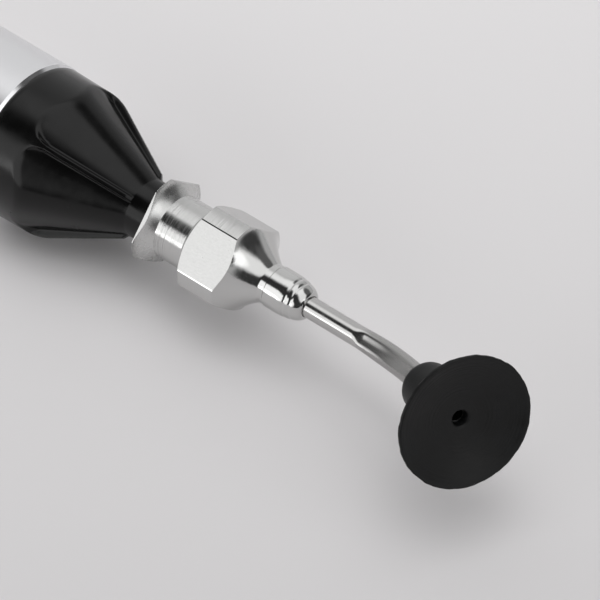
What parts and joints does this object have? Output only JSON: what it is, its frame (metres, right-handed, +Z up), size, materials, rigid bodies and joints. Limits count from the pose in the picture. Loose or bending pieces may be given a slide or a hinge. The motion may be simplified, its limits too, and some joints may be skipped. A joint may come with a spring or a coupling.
{
  "type": "vacuum pick up pen",
  "caption": "Hand-held vacuum pick up pen: aluminium barrel with a side push button, black ribbed nose, metal Luer hub, bent needle and a rubber suction cup.",
  "frame": {"origin": "on the pen's axis at the rear end of the barrel, where the tail cap begins", "axes": "+X along the pen's axis towards the cup, +Z up; the pen lies on a table 6.35 mm below its axis, leaning on the edge of its button, which faces -Y"},
  "size_m": [0.142, 0.0157, 0.015],
  "materials": {
    "anodised_aluminium": "satin anodised",
    "black_abs": "glossy moulded",
    "frame_plastic": "matte moulded",
    "tube_rubber": "matte",
    "clamp_aluminium": "bare",
    "nickel_plate": "polished nickel with fine turning marks",
    "stainless_steel": "polished",
    "cup_rubber": "matte",
    "sheet_steel": "bare pressed sheet"
  },
  "bodies": {
    "pen": {"barrel": "anodised_aluminium", "button_frame": "frame_plastic", "nose_cone": "black_abs", "tail_cap": "black_abs", "squeeze_tube": "tube_rubber", "front_clamp": "clamp_aluminium", "rear_clamp": "clamp_aluminium"},
    "button": {"push_button": "black_abs", "presser": "sheet_steel"},
    "tip": {"luer_hub": "nickel_plate", "needle": "stainless_steel", "suction_cup": "cup_rubber"}
  },
  "joints": [
    {"name": "button_press", "type": "slide", "parent": "pen", "child": "button", "axis": [0, 0.9286, 0.3711], "range_m": [0, 0.0023], "stiffness_N_per_m": 1500, "springref_m": -0.0004, "deforming": ["squeeze_tube"]},
    {"name": "needle_swivel", "type": "hinge", "parent": "pen", "child": "tip", "pos_m": [0.0975, 0, 0], "axis": [-1, 0, 0], "continuous": true}
  ]
}
